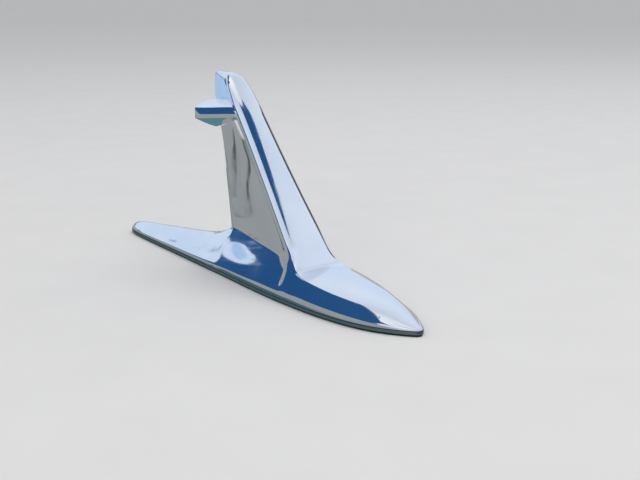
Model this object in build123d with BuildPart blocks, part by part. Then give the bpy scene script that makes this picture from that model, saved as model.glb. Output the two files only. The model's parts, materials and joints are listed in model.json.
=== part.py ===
"""Bonnet ornament of a 1950s car: a jet-age fin with swept wings on a boat-shaped base.

Frame: +Z up, nose towards -Y, symmetric about X = 0. The origin lies on the seat, which is
the pad's underside, half-way between the two studs. All lengths are in millimetres.
"""

from build123d import *
import os

# Overall sizes
LENGTH = 250.0              # nose tip to tail tip
BASE_HALF_WIDTH = 18.9      # widest half-width of the base, a quarter of the way back
NOSE_RUN = 60.0             # place along the length where the base is widest
NOSE_SLANT = 1.1            # sideways run of the outline per mm of length, at the very tip
# Points of the bow between the tip and the widest place: place along the length, half-width
NOSE_POINTS = [(18.0, 12.9), (34.0, 17.1)]
TAIL_WAIST = (150.0, 12.9)  # place along the length and half-width where the tail narrows
TAIL_START = (16.0, 5.6)    # distance before the tail tip and half-width where the tail rounds off
TAIL_ROUND = (4.0, 3.3)     # a point on the rounding of the tail, measured in the same way

# Pad, walls and cavity
PAD_THICKNESS = 1.0
PAD_INSET = 0.4             # how far the pad stays inside the casting's edge
PAD_RIM = 6.0               # width of the pad's rim
PAD_DISC_RADIUS = 9.0       # the pad's round seat about each stud
PAD_STRIP = 8.0             # width of the strip that joins the seat to the rim
WALL = 3.0                  # wall of the casting
ROOF_SHIFT = 2.2            # inward and downward shift that leaves WALL across a sloping roof
CAVITY_TOP = 15.0           # height at which the core under the fin stops
RIB_THICKNESS = 2.5
BOSS_RADIUS = 7.0

# Fin
FIN_FOOT_Z = 20.0           # height where the fin leaves the base
FIN_SHOULDER_Z = 91.0       # height where the front face starts to round over
FIN_ROOT_Z = 9.0            # the fin's own section starts here, inside the base
FIN_FOOT_FRONT = 74.5       # place along the length of the front face at its foot
FIN_SHOULDER_FRONT = 125.4  # the same at the shoulder
FIN_FOOT_HALF = 12.1        # half-width of the front face at its foot
FIN_SHOULDER_HALF = 6.0     # half-width of the front face at the shoulder
FIN_FOOT_BACK = 139.0       # place along the length of the trailing edge at its foot
FIN_SHOULDER_BACK = 152.8   # the same at the shoulder
FIN_EDGE_HALF = 1.4         # half-thickness of the trailing edge
FRONT_BULGE = 1.6           # how far the front face swells forward at its middle
WEB_HOLLOW = 1.0            # how far each side of the fin is hollowed
# The rounded tip. Columns: height, place of its front along the length, half-width of the
# front, place of its back, half-thickness of the back.
TIP_SECTIONS = [
    (98.5, 132.0, 4.7, 151.8, 1.4),
    (103.2, 138.0, 1.9, 148.0, 1.0),
]

# Swept wings near the top of the fin
WING_HALF_SPAN = 18.0
WING_ROOT_HALF = 4.0        # half-width of the straight middle part, hidden inside the fin
WING_ROOT_FRONT = 123.1     # place along the length of the leading edge at the root
WING_TIP_FRONT = 144.5      # the same at the tip
WING_BACK = 152.5           # where the trailing edges meet on the centre line
WING_TIP_CHORD = 1.6
WING_TOP_Z = 88.4           # height of the top face at the root
WING_TIP_TOP_Z = 86.2       # the same at the tip
WING_NOSE_HEIGHT = 4.2      # height of the blunt front face
WING_NOSE_ROUND = 1.2       # how far the front face's upper edge is taken back and down
WING_KEEL_Z = 74.9          # lowest point, at the back on the centre line
WING_TIP_LOW_Z = 80.4       # underside at the tip

# Fasteners
STUD_SPACING = 108.0
STUD_FRONT_AT = 64.0        # place along the length of the front stud
STUD_THREAD_RADIUS = 3.175
STUD_SHANK_RADIUS = 2.76    # plain shank between the thread in the boss and the nut's thread
STUD_GRIP = 3.2             # length of the plain shank below the seat
STUD_DEPTH = 7.0            # how far the stud goes into its boss
STUD_REACH = 24.0           # how far the stud reaches below the seat
STUD_CHAMFER = 0.6
FIT_CLEARANCE = 0.02        # radial clearance of a stud in its boss and of a nut on its stud
STUD_HOLE_IN_PAD = 3.6
WASHER_RADIUS = 8.0
WASHER_HOLE_RADIUS = 3.45
WASHER_THICKNESS = 1.6
WASHER_DROP = 3.3           # top of the washer below the seat, with the sheet metal between
NUT_FLATS = 11.1            # across flats
NUT_HEIGHT = 5.6
NUT_CHAMFER = 0.5
SINK = 2.0                  # how far construction bodies run past what they cut

STUD_MIDDLE_AT = STUD_FRONT_AT + STUD_SPACING / 2


def y_at(s):
    """Y of the place that lies s behind the nose tip."""
    return s - STUD_MIDDLE_AT


STUDS = {"front": -STUD_SPACING / 2, "rear": STUD_SPACING / 2}


def bow_points(inset):
    """Points of the bow, each moved inwards across the line between its two neighbours."""
    places = [(0, 0)] + NOSE_POINTS + [(NOSE_RUN, BASE_HALF_WIDTH)]
    moved = []
    for (s0, half0), (s1, half1), (s2, half2) in zip(places, places[1:], places[2:]):
        run, rise = s2 - s0, half2 - half0
        length = (run * run + rise * rise) ** 0.5
        moved.append((half1 - inset * run / length, y_at(s1 + inset * rise / length)))
    return moved


def base_outline(inset):
    """Half outline of the base on +X, from nose tip to tail tip, drawn inside itself by inset.

    Where the inset leaves the narrow tail no width, the outline ends sooner with the same round.
    """
    tail_start_at = LENGTH - TAIL_START[0]
    taper = (TAIL_WAIST[1] - TAIL_START[1]) / (tail_start_at - TAIL_WAIST[0])
    sooner = inset / taper
    nose = (0, y_at(inset * (1 + NOSE_SLANT ** 2) ** 0.5 / NOSE_SLANT))
    widest = (BASE_HALF_WIDTH - inset, y_at(NOSE_RUN))
    waist = (TAIL_WAIST[1] - inset + taper * sooner / 2, y_at(TAIL_WAIST[0] - sooner / 2))
    tail_start = (TAIL_START[1], y_at(tail_start_at - sooner))
    tail_round = (TAIL_ROUND[1], y_at(LENGTH - TAIL_ROUND[0] - sooner))
    tail = (0, y_at(LENGTH - sooner))
    Spline(nose, *bow_points(inset), widest, tangents=[(NOSE_SLANT, 1), (0, 1)])
    Spline(widest, waist, tail_start, tangents=[(0, 1), (-taper, 1)])
    ThreePointArc(tail_start, tail_round, tail)
    Line(tail, nose)


# Cross-sections of the base's roof. Columns: place along the length, half-width there, height
# of the side wall, half-width and height of the ridge, height of the crown on the centre line.
ROOF_SECTIONS = [
    (-3.0, 3.0, 2.4, 1.6, 2.6, 2.9),
    (5.0, 5.6, 2.9, 4.0, 3.3, 4.3),
    (12.0, 9.8, 3.4, 7.6, 4.4, 6.2),
    (20.0, 13.7, 4.4, 9.8, 7.0, 8.7),
    (30.0, 16.4, 5.4, 11.0, 9.6, 10.8),
    (62.0, 18.9, 6.0, 14.9, 13.8, 14.9),
    (84.0, 18.3, 5.7, 11.2, 19.2, 20.2),
    (108.0, 16.8, 5.2, 6.6, 20.9, 21.8),
    (136.0, 14.1, 4.7, 2.4, 21.6, 22.4),
    (150.0, 12.9, 4.4, 3.6, 16.6, 18.3),
    (172.0, 11.2, 4.1, 4.0, 13.4, 15.2),
]
# The same for the tail, but the first column is the distance before the tail tip.
TAIL_SECTIONS = [
    (45.0, 8.8, 3.8, 3.4, 10.4, 12.1),
    (13.0, 5.2, 3.5, 2.0, 7.8, 9.0),
    (-3.0, 3.4, 3.2, 1.0, 4.4, 5.0),
]
ROOF_MARGIN = 1.5           # how far the roof sections run out past the side wall


def roof_section(row, shift, drop):
    """One cross-section of the roof, moved inwards by shift and down by drop."""
    s, half, wall_z, ridge, ridge_z, crown_z = row
    ridge_in = max(ridge - shift, 0.5)
    slope = (ridge_z - wall_z) / (half - ridge)
    edge = half + ROOF_MARGIN - shift
    edge_z = wall_z - slope * ROOF_MARGIN - drop
    with BuildSketch(Plane(origin=(0, y_at(s), 0), x_dir=(1, 0, 0), z_dir=(0, -1, 0))) as section:
        with BuildLine():
            Polyline((-ridge_in, ridge_z - drop), (-edge, edge_z), (-edge, -4 * SINK - drop),
                     (edge, -4 * SINK - drop), (edge, edge_z), (ridge_in, ridge_z - drop))
            ThreePointArc((ridge_in, ridge_z - drop), (0, crown_z - drop), (-ridge_in, ridge_z - drop))
        make_face()
    return section.sketch


def outline_sketch(z, inset):
    """The base's outline in plan at height z, drawn inside itself by inset."""
    with BuildSketch(Plane.XY.offset(z)) as outline:
        with BuildLine():
            base_outline(inset)
        make_face()
        mirror(about=Plane.YZ)
    return outline.sketch


def fin_section(z, front, half, back, edge_half):
    """The fin's section at height z: a convex front, two hollow sides and a thin back."""
    with BuildSketch(Plane.XY.offset(z)) as section:
        with BuildLine():
            left, right = (-half, y_at(front)), (half, y_at(front))
            back_left, back_right = (-edge_half, y_at(back)), (edge_half, y_at(back))
            side_mid = ((half + edge_half) / 2 - WEB_HOLLOW, y_at((front + back) / 2))
            ThreePointArc(left, (0, y_at(front - FRONT_BULGE)), right)
            ThreePointArc(right, side_mid, back_right)
            Line(back_right, back_left)
            ThreePointArc(back_left, (-side_mid[0], side_mid[1]), left)
        make_face()
    return section.sketch


def fin_value(foot, shoulder, z):
    """A size of the fin at height z, on the straight line from its foot to its shoulder."""
    return foot + (shoulder - foot) * (z - FIN_FOOT_Z) / (FIN_SHOULDER_Z - FIN_FOOT_Z)


# Roof and outline make the base
roof_rows = ROOF_SECTIONS + [(LENGTH - row[0], *row[1:]) for row in TAIL_SECTIONS]
with BuildPart() as roof:
    for row in roof_rows:
        add(roof_section(row, 0, 0))
    loft(ruled=True)

with BuildPart() as core_roof:
    for row in roof_rows:
        add(roof_section(row, ROOF_SHIFT, WALL))
    loft(ruled=True)

# Cavity under the base, around the two bosses and their cross ribs
with BuildPart() as cavity:
    add(outline_sketch(0, WALL))
    extrude(amount=CAVITY_TOP)
    add(core_roof.part, mode=Mode.INTERSECT)
    for y in STUDS.values():
        with Locations((0, y, 0)):
            Cylinder(BOSS_RADIUS, 3 * CAVITY_TOP, mode=Mode.SUBTRACT)
            Box(3 * BASE_HALF_WIDTH, RIB_THICKNESS, 3 * CAVITY_TOP, mode=Mode.SUBTRACT)

# Fin, from inside the base up to its tip
with BuildPart() as fin:
    root_front, root_half, root_back = (
        fin_value(foot, shoulder, FIN_ROOT_Z) for foot, shoulder in (
            (FIN_FOOT_FRONT, FIN_SHOULDER_FRONT), (FIN_FOOT_HALF, FIN_SHOULDER_HALF),
            (FIN_FOOT_BACK, FIN_SHOULDER_BACK)))
    add(fin_section(FIN_ROOT_Z, root_front, root_half, root_back, FIN_EDGE_HALF))
    add(fin_section(FIN_SHOULDER_Z, FIN_SHOULDER_FRONT, FIN_SHOULDER_HALF, FIN_SHOULDER_BACK,
                    FIN_EDGE_HALF))
    for z, front, half, back, edge_half in TIP_SECTIONS:
        add(fin_section(z, front, half, back, edge_half))
    loft(ruled=True)


def wing_profile(x):
    """The wings' section at x: a blunt front face, a top face and a falling underside."""
    out = x / WING_HALF_SPAN
    sweep = max(x - WING_ROOT_HALF, 0) / (WING_HALF_SPAN - WING_ROOT_HALF)
    front = WING_ROOT_FRONT + (WING_TIP_FRONT - WING_ROOT_FRONT) * sweep
    back = WING_BACK + (WING_TIP_FRONT + WING_TIP_CHORD - WING_BACK) * out
    top_z = WING_TOP_Z + (WING_TIP_TOP_Z - WING_TOP_Z) * out
    low_z = WING_KEEL_Z + (WING_TIP_LOW_Z - WING_KEEL_Z) * out
    nose_z = top_z - WING_NOSE_ROUND
    with BuildSketch(Plane(origin=(x, 0, 0), x_dir=(0, 1, 0), z_dir=(1, 0, 0))) as section:
        with BuildLine():
            Polyline((y_at(front), nose_z - WING_NOSE_HEIGHT), (y_at(front), nose_z),
                     (y_at(front + WING_NOSE_ROUND), top_z), (y_at(back), top_z),
                     (y_at(back), low_z), close=True)
        make_face()
    return section.sketch


# Wings: a half wing lofted out of the fin, and its mirror image
with BuildPart() as wings:
    for x in (0, WING_ROOT_HALF, WING_HALF_SPAN):
        add(wing_profile(x))
    loft(ruled=True)
    mirror(about=Plane.YZ)

# Ornament casting
with BuildPart() as ornament:
    add(outline_sketch(PAD_THICKNESS, 0))
    extrude(amount=FIN_SHOULDER_Z)
    add(roof.part, mode=Mode.INTERSECT)
    add(fin.part)
    add(wings.part)
    add(cavity.part, mode=Mode.SUBTRACT)
    for y in STUDS.values():
        with Locations((0, y, PAD_THICKNESS)):
            Cylinder(STUD_THREAD_RADIUS + FIT_CLEARANCE, 2 * STUD_DEPTH, mode=Mode.SUBTRACT)
ornament.part.label = "ornament"

# Opening in the pad, around the seats of the two studs and the strips that carry them
with BuildPart() as pad_opening:
    add(outline_sketch(0, PAD_INSET + PAD_RIM))
    extrude(amount=PAD_THICKNESS)
    with Locations(*[(0, y, 0) for y in STUDS.values()]):
        Cylinder(PAD_DISC_RADIUS, 2 * SINK, mode=Mode.SUBTRACT)
        Box(3 * BASE_HALF_WIDTH, PAD_STRIP, 2 * SINK, mode=Mode.SUBTRACT)

# Rubber pad: a rim, with a strip and a round seat at each stud
with BuildPart() as pad:
    add(outline_sketch(0, PAD_INSET))
    extrude(amount=PAD_THICKNESS)
    add(pad_opening.part, mode=Mode.SUBTRACT)
    with Locations(*[(0, y, 0) for y in STUDS.values()]):
        Cylinder(STUD_HOLE_IN_PAD, 2 * SINK, mode=Mode.SUBTRACT)
pad.part.label = "pad"


def stud(y):
    """A stud: thread in the boss, plain shank through the sheet metal, thread for the nut."""
    with BuildPart(Plane.XY.offset(-STUD_REACH)) as part:
        with Locations((0, y)):
            Cylinder(STUD_THREAD_RADIUS, STUD_REACH - STUD_GRIP, align=(Align.CENTER, Align.CENTER, Align.MIN))
        chamfer(part.faces().sort_by(Axis.Z)[0].edges(), STUD_CHAMFER)
        with Locations((0, y, STUD_REACH - STUD_GRIP)):
            Cylinder(STUD_SHANK_RADIUS, STUD_GRIP, align=(Align.CENTER, Align.CENTER, Align.MIN))
        with Locations((0, y, STUD_REACH)):
            Cylinder(STUD_THREAD_RADIUS, PAD_THICKNESS + STUD_DEPTH,
                     align=(Align.CENTER, Align.CENTER, Align.MIN))
    return part.part


def washer(y):
    """A flat washer that bears on the underside of the sheet metal."""
    with BuildPart() as part:
        with BuildSketch(Plane.XY.offset(-WASHER_DROP - WASHER_THICKNESS)):
            with Locations((0, y)):
                Circle(WASHER_RADIUS)
                Circle(WASHER_HOLE_RADIUS, mode=Mode.SUBTRACT)
        extrude(amount=WASHER_THICKNESS)
    return part.part


def nut(y):
    """A hexagon nut under the washer, chamfered at both ends."""
    low = -WASHER_DROP - WASHER_THICKNESS - NUT_HEIGHT
    with BuildPart() as part:
        with BuildSketch(Plane.XY.offset(low)):
            with Locations((0, y)):
                RegularPolygon(NUT_FLATS / 2, 6, major_radius=False)
        extrude(amount=NUT_HEIGHT)
        with BuildSketch(Plane.XY.offset(low)):
            with Locations((0, y)):
                Circle(NUT_FLATS / 2 + NUT_CHAMFER)
        extrude(amount=NUT_HEIGHT, mode=Mode.INTERSECT)
        with Locations((0, y, low + NUT_HEIGHT / 2)):
            Cylinder(STUD_THREAD_RADIUS + FIT_CLEARANCE, 2 * NUT_HEIGHT, mode=Mode.SUBTRACT)
    return part.part


# Write every piece
pieces = {"ornament": ornament.part, "pad": pad.part}
for name, y in STUDS.items():
    for kind, make in (("stud", stud), ("washer", washer), ("nut", nut)):
        pieces[f"{kind}_{name}"] = make(y)

os.makedirs("parts", exist_ok=True)
for name, piece in pieces.items():
    piece.label = name
    export_step(piece, f"parts/{name}.step")
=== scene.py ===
# %% [markdown]
# # Bonnet ornament
# The object is a chromed casting about 250 mm long: a boat-shaped base, a tall fin that leans
# back, two small swept wings near the top of the fin and a rounded tip above them. It stands on
# a thin rubber pad, and two studs with washers and nuts hold it from below.
#
# The imported solids are loaded first. They give the true sizes. Nothing that is modelled here may
# be larger.

# %% Load the imported part
import bpy, bmesh, json, math
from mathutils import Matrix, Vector

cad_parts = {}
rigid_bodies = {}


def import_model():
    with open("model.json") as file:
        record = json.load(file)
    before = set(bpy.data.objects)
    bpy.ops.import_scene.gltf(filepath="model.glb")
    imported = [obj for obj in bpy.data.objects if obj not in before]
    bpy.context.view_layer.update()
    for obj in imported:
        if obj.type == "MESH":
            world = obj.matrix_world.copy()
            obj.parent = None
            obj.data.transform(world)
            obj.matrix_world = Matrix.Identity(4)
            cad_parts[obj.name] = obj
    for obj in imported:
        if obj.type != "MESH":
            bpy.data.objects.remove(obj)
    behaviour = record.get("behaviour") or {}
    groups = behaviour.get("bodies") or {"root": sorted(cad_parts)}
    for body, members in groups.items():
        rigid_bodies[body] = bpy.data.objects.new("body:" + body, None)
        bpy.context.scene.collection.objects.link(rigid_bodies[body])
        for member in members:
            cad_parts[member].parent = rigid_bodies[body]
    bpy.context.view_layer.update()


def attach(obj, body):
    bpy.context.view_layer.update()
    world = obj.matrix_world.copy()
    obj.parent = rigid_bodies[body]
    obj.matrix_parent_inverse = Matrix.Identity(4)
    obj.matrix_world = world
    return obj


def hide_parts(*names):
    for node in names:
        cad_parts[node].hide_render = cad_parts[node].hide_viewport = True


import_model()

# %% [markdown]
# ## How places are written
# A drawing of such a casting counts from the tip of the nose. So a place here is three lengths
# in millimetres: sideways from the middle plane, back from the nose tip, and up from the seat.
# One function turns them into Blender's metres in the frame of the solids.

# %% Places in millimetres behind the nose tip
MM = 0.001
ORIGIN_BEHIND_NOSE = 118.0


def at(x, s, z):
    return Vector((x, s - ORIGIN_BEHIND_NOSE, z)) * MM


print("nose tip at", tuple(round(v, 4) for v in at(0, 0, 0)))

# %% [markdown]
# ## Small helpers for edit mode
# Everything below is box modelling: a primitive is added, and its points, edges and faces are
# picked by their place and moved, extruded or creased. By hand that is a click and a drag. In
# code it is a test that says which points are meant, followed by the same operator. Points that
# are pulled one after another go to their places a metre higher and come down together, so that
# none is taken for one that still waits.

# %% Picking and pulling in edit mode
LIFT = Vector((0, 0, 1))


def deselect():
    bpy.ops.object.select_all(action="DESELECT")


def select_everything():
    bpy.ops.mesh.select_all(action="SELECT")


def activate(piece):
    """Deselect everything and make this piece the active one, in object mode."""
    if bpy.context.object and bpy.context.object.mode == "EDIT":
        bpy.ops.object.mode_set(mode="OBJECT")
    deselect()
    bpy.context.view_layer.objects.active = piece
    piece.select_set(True)


def start_editing(piece):
    """Open this piece alone in edit mode, with nothing selected."""
    activate(piece)
    bpy.ops.object.mode_set(mode="EDIT")
    bpy.ops.mesh.select_all(action="DESELECT")


def begin(name):
    """Name the primitive that was just added, and open it in edit mode."""
    piece = bpy.context.object
    piece.name = name
    start_editing(piece)
    return piece


def stop_editing():
    bpy.ops.object.mode_set(mode="OBJECT")


def move_all(shift):
    select_everything()
    bpy.ops.transform.translate(value=tuple(shift))


def turn_outwards():
    """Make all faces of the edited mesh point outwards."""
    select_everything()
    bpy.ops.mesh.normals_make_consistent(inside=False)


def pick(kind, test):
    """Select the verts, edges or faces of the edited mesh that pass the test, and count them."""
    mesh = bpy.context.object.data
    bpy.ops.mesh.select_mode(type={"verts": "VERT", "edges": "EDGE", "faces": "FACE"}[kind])
    bpy.ops.mesh.select_all(action="DESELECT")
    edited = bmesh.from_edit_mesh(mesh)
    count = 0
    for element in getattr(edited, kind):
        if test(element):
            element.select_set(True)
            count += 1
    edited.select_flush_mode()
    bmesh.update_edit_mesh(mesh)
    return count


def pull(pairs):
    """Drag single points: each pair is where a point is and where it goes."""
    mesh = bpy.context.object.data
    bpy.ops.mesh.select_mode(type="VERT")
    for old, new in pairs:
        bpy.ops.mesh.select_all(action="DESELECT")
        edited = bmesh.from_edit_mesh(mesh)
        nearest = min(edited.verts, key=lambda v: (v.co - old).length_squared)
        nearest.select_set(True)
        bmesh.update_edit_mesh(mesh)
        bpy.ops.transform.translate(value=new - old)


def ring(name, points, fill="NOTHING"):
    """A circle whose points are pulled to these places. It stays open in edit mode."""
    deselect()
    bpy.ops.mesh.primitive_circle_add(vertices=len(points), radius=1, fill_type=fill,
                                      location=(0, 0, 0))
    piece = begin(name)
    around = [v.co.copy() for v in bmesh.from_edit_mesh(piece.data).verts]
    pull([(old, new + LIFT) for old, new in zip(around, points)])
    move_all(-LIFT)
    return piece


def add_modifier(piece, kind, **values):
    """Add a modifier with these values and apply it."""
    activate(piece)
    modifier = piece.modifiers.new(kind.title(), kind)
    for name, value in values.items():
        setattr(modifier, name, value)
    bpy.ops.object.modifier_apply(modifier=modifier.name)


print("points are pulled", LIFT.z, "m above their places first")

# %% [markdown]
# ## The deck of the casting
# The top of the base is one sheet that runs from a pointed nose over two soft ridges to a long
# tail. It could be a loft of sections, but the fin has to grow out of it without a seam, as it
# does in the real casting, so it is a grid whose cross rows are pulled to their places. Only the
# left half is modelled, and a mirror makes the other. A subdivision surface rounds it at the end,
# so few points give long, even curves, which polished chrome needs: every bump would show.

# %% Cross rows of the deck
# Place behind the nose, half-width, height of the wall, half-width and height of the ridge,
# height of the crown, and how far the upper and lower part of the side swell out.
NOSE_ROWS = [
    (0.5, 1.2, 2.7, 0.6, 2.9, 3.0, 0.1, 0.1),
    (1.5, 2.4, 2.8, 1.5, 3.15, 3.4, 0.2, 0.1),
    (4.5, 4.8, 3.0, 3.6, 3.6, 4.3, 0.2, 0.2),
    (8.5, 7.6, 3.3, 6.0, 4.2, 5.4, 0.3, 0.3),
    (13.5, 10.6, 3.8, 8.3, 5.3, 6.9, 0.3, 0.3),
    (20.0, 13.4, 4.5, 9.2, 7.4, 8.8, 0.3, 0.3),
    (28.0, 15.7, 5.0, 10.6, 9.4, 10.6, 0.3, 0.3),
    (38.0, 17.3, 5.3, 12.8, 11.0, 12.3, 0.3, 0.3),
    (49.0, 18.2, 5.5, 14.6, 12.3, 13.6, 0.3, 0.3),
    (59.0, 18.5, 5.6, 15.0, 13.6, 14.7, 0.3, 0.3),
    (65.0, 18.5, 5.7, 14.7, 14.3, 15.2, 0.3, 0.3),
    (69.5, 18.4, 5.7, 13.4, 16.0, 15.6, 0.3, 0.3),
]
FIN_ROWS = [
    (74.5, 18.3, 5.7, 12.1, 20.2, 20.2, 0.4, 0.6),
    (78.5, 18.2, 5.7, 11.9, 20.4, 20.4, -1.2, -1.0),
    (82.5, 18.0, 5.7, 11.2, 19.8, 19.8, -1.2, -1.0),
    (90.0, 17.6, 5.6, 9.8, 20.0, 20.0, -0.3, 0.1),
    (99.0, 17.0, 5.4, 8.3, 20.4, 20.4, 0, 0.3),
    (108.0, 16.2, 5.2, 6.8, 20.9, 20.9, -0.1, 0.1),
    (120.0, 15.1, 5.0, 4.3, 21.9, 21.9, -0.6, 0.4),
    (131.0, 13.9, 4.7, 2.6, 22.8, 22.8, -0.4, 0.3),
    (136.5, 13.45, 4.6, 2.0, 23.0, 23.0, -0.3, 0),
    (139.5, 13.3, 4.6, 1.6, 22.4, 22.4, -0.1, -0.2),
]
TAIL_ROWS = [
    (143.2, 12.95, 4.5, 1.9, 20.9, 21.4, 0.2, -0.05),
    (149.0, 12.5, 4.4, 2.7, 18.0, 18.6, 0.3, -0.15),
    (159.0, 11.6, 4.2, 4.1, 14.4, 16.8, 0.2, -0.15),
    (172.0, 10.5, 4.1, 5.3, 11.1, 15.2, -0.1, -0.2),
    (188.0, 9.2, 4.0, 5.6, 9.1, 13.8, 0.05, -0.15),
    (205.0, 7.8, 3.8, 5.3, 7.2, 12.1, 0, 0),
    (219.0, 6.6, 3.7, 4.7, 6.1, 10.7, 0, 0),
    (230.0, 5.7, 3.6, 4.2, 5.5, 9.7, 0, 0),
    (239.0, 4.6, 3.5, 3.4, 5.3, 8.6, 0.2, 0.2),
    (245.0, 3.4, 3.4, 2.5, 4.8, 7.3, 0.2, 0.2),
    (248.6, 2.1, 3.2, 1.5, 4.2, 5.7, 0.1, 0.1),
    (249.5, 0.9, 3.0, 0.6, 3.7, 4.4, 0.1, 0.1),
]
DECK_ROWS = NOSE_ROWS + FIN_ROWS + TAIL_ROWS
RIDGE = 4                          # column of the ridge, counted from the middle
TAIL_FROM = 141.0                  # behind here the crown is a roof with a soft spine
CROWN_POWER, ROOF_POWER = 2, 1.4   # how the height falls from the middle to the ridge
SIDE_SHARES = (0.36, 0.72)         # how far down the side its two swelling points are
INNER_SHARE = 0.42                 # place of the first column, as a share of the ridge's
BESIDE = ((3.6, 0.6), (1.7, 0.82))  # columns beside the ridge: distance from it, least share
RIDGE_INSET = 0.7                   # an inset drawing moves its ridge in by this share
LEAST_HALF, LEAST_RIDGE = 0.4, 0.2  # widths that it keeps in any case
FOOT_SWELL, FOOT_ROUND = 0.6, 1.8  # swell and rounded border of the front face at its foot


def columns(ridge):
    """Half-widths of the points from the middle to a ridge, closer together beside it."""
    beside = [max(ridge - distance, least * ridge) for distance, least in BESIDE]
    return 0, INNER_SHARE * ridge, *beside, ridge


def forward(x, ridge, swell, round_over):
    """How far the front face stands forward of its ridge: a swell and a rounded border."""
    inner = columns(ridge)[2]
    share = max(x - inner, 0) / (ridge - inner)
    return swell * (1 - (x / ridge) ** 2) + round_over * (1 - share ** 2)


def deck_row(row, inset=0.0, drop=0.0, ceiling=math.inf):
    """The seven points of one row, from the middle out to the wall. A drawing that is inset
    and dropped is a smaller deck inside the first one, cut flat at a ceiling."""
    s, half, wall_z, ridge, ridge_z, crown_z, upper, lower = row
    half = max(half - inset, LEAST_HALF)
    ridge = max(ridge - inset * RIDGE_INSET, LEAST_RIDGE)
    wall_z, ridge_z, crown_z = wall_z - drop, ridge_z - drop, crown_z - drop
    power = ROOF_POWER if s > TAIL_FROM else CROWN_POWER
    line = [(x, crown_z - (crown_z - ridge_z) * (x / ridge) ** power) for x in columns(ridge)]
    for down, swell in zip(SIDE_SHARES, (upper, lower)):
        line.append((ridge + (half - ridge) * down + swell,
                     ridge_z + (wall_z - ridge_z) * down + max(swell, 0) / 2))
    line.append((half, wall_z))
    swelling = row == FIN_ROWS[0]
    return [at(x, s - (forward(x, ridge, FOOT_SWELL, FOOT_ROUND) if swelling and x < ridge else 0),
               min(z, ceiling))
            for x, z in line]


def pulled_deck(name, drawing, **shift):
    """Half of the deck: a grid whose points are pulled, row by row, to their places."""
    rows = [deck_row(row, **shift) for row in drawing]
    across, along = len(rows[0]) - 1, len(rows) - 1
    deselect()
    bpy.ops.mesh.primitive_grid_add(x_subdivisions=across, y_subdivisions=along, size=1,
                                    location=(0, 0, 0))
    piece = begin(name)
    move_all(LIFT)
    pull([(Vector((i / across - 0.5, j / along - 0.5, 0)) + LIFT, rows[j][i])
          for j in range(along + 1) for i in range(across + 1)])
    stop_editing()
    return piece, rows


casting, deck = pulled_deck("ornament_casting", DECK_ROWS)
print("deck of", len(casting.data.vertices), "points")

# %% [markdown]
# ## The fin
# On the real part the fin is cast in one with the base. Its front is a wide, swelling face whose
# edges run on from the ridges of the nose. Behind each edge a narrow border steps in to a hollow
# web, and the web thins to the trailing edge. The faces between the ridges are extruded upwards
# level by level, and at each level the points of the top are pulled to the drawing.

# %% Levels of the fin
# Height, place and half-width of the front face's edge, its swell and rounded border, place and
# half-width of the corner behind that border, place of the back, hollow of the web.
FIN_LEVELS = [
    (24.0, 77.2, 11.8, 0.5, 1.9, 80.4, 11.6, 140.5, 0.6),
    (32.0, 83.3, 11.1, 0.6, 2.0, 86.5, 10.9, 141.3, 0.9),
    (45.0, 93.3, 10.0, 0.8, 2.1, 96.5, 9.8, 143.2, 1.0),
    (60.0, 104.7, 9.0, 1.0, 2.1, 107.9, 8.8, 145.4, 1.0),
    (73.0, 114.5, 8.3, 1.2, 2.1, 117.7, 8.1, 148.0, 0.8),
    (83.0, 122.2, 7.9, 1.4, 2.0, 125.3, 7.7, 151.4, 0.6),
    (88.0, 126.0, 7.7, 1.3, 1.9, 128.6, 7.3, 152.9, 0.2),
    (91.5, 128.7, 7.3, 1.2, 1.7, 131.2, 6.7, 153.5, 0),
    (95.0, 131.4, 6.8, 1.0, 1.5, 134.0, 5.9, 153.3, 0),
    (98.0, 133.7, 6.0, 0.8, 1.2, 136.4, 5.0, 153.0, 0),
    (100.4, 135.8, 4.7, 0.5, 0.8, 138.4, 4.0, 152.8, 0),
    (102.2, 138.0, 3.0, 0.2, 0.4, 140.2, 2.8, 152.0, 0),
    (103.1, 141.0, 1.6, 0, 0, 142.4, 1.6, 150.5, 0),
]
# How far the border steps in to the web, level by level.
STEPS = (1.1, 1.1, 1.1, 1.0, 1.0, 0.8, 0.4, 0.15, 0.1, 0.1, 0.1, 0.1, 0.1)
STEP_RUN = 1.5            # length over which the border steps in to the web
EDGE_RUN = 2.2            # length of the chamfer before the trailing edge
EDGE_HALF = (1.8, 1.1)    # half-thickness before and at the trailing edge
EDGE_SHARE = (0.75, 0.5)  # and its largest share of the corner's half-width
MERGE = 0.001 * MM        # points closer than this are one point
SAME_PLACE = 0.02 * MM    # a point this close to a place of the drawing is that point
CHAMFER_ROW = 8           # row of the deck where the chamfer before that edge starts
WEB_START, WEB_END = FIN_ROWS[2][0], FIN_ROWS[CHAMFER_ROW][0]
WEB_PLACES = [(row[0] - WEB_START) / (WEB_END - WEB_START) for row in FIN_ROWS[3:CHAMFER_ROW]]


def fin_level(level, step):
    """The points of the fin's section at one height, row by row from front to back. The web
    is hollowed most half-way along, by a parabola."""
    z, front, half, swell, round_over, corner_s, corner_x, back, hollow = level
    start = (corner_x - step, corner_s + STEP_RUN)
    end_half, edge_half = (min(half_width, share * corner_x)
                           for half_width, share in zip(EDGE_HALF, EDGE_SHARE))
    end = (end_half, back - EDGE_RUN)
    side = [(half, front), (corner_x, corner_s), start]
    for t in WEB_PLACES:
        side.append((start[0] + (end[0] - start[0]) * t - hollow * 4 * t * (1 - t),
                     start[1] + (end[1] - start[1]) * t))
    side += [end, (edge_half, back)]
    section = []
    for x, s in side:
        lead = (lambda c: forward(c, half, swell, round_over)) if s == front else (lambda c: 0)
        section.append([at(c, s - (lead(c) if c < x else 0), z) for c in columns(x)])
    return section


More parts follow.
